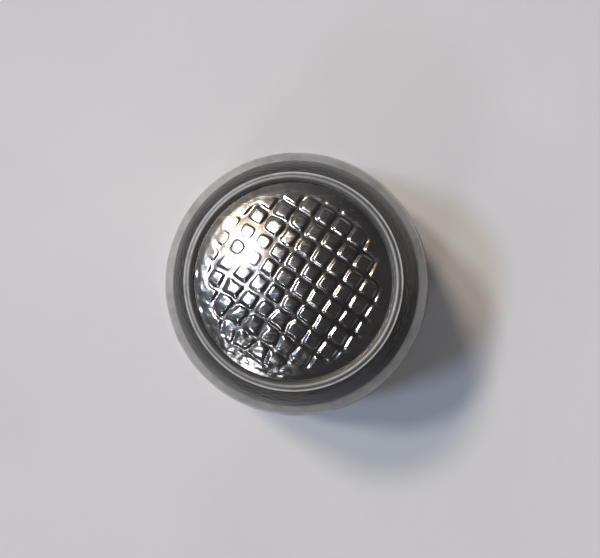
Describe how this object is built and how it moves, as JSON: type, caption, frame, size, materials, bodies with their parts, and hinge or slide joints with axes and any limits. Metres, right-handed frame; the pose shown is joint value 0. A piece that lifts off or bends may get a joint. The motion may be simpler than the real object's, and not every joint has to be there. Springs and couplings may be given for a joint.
{
  "type": "sewing thimble",
  "caption": "Closed-top metal thimble: tapered dimpled wall, cross-grooved domed cap held by a round bezel, and a satin foot ring.",
  "frame": {"origin": "on the axis, in the plane that the rim stands on", "axes": "+Z along the axis towards the closed, domed end; X and Y are equal"},
  "size_m": [0.019, 0.019, 0.022],
  "materials": {
    "wall_metal": "bright nickel plate over a dimpled wall, lightly worn",
    "cap_metal": "bright nickel plate, cross-grooved into small square studs, scratched by needles",
    "bezel_metal": "satin nickel plate, its outer edge polished by wear",
    "rim_metal": "satin, worn dull by handling"
  },
  "bodies": {
    "root": {"side_wall": "wall_metal", "cap": "cap_metal", "bezel": "bezel_metal", "rim_ring": "rim_metal"}
  },
  "joints": []
}
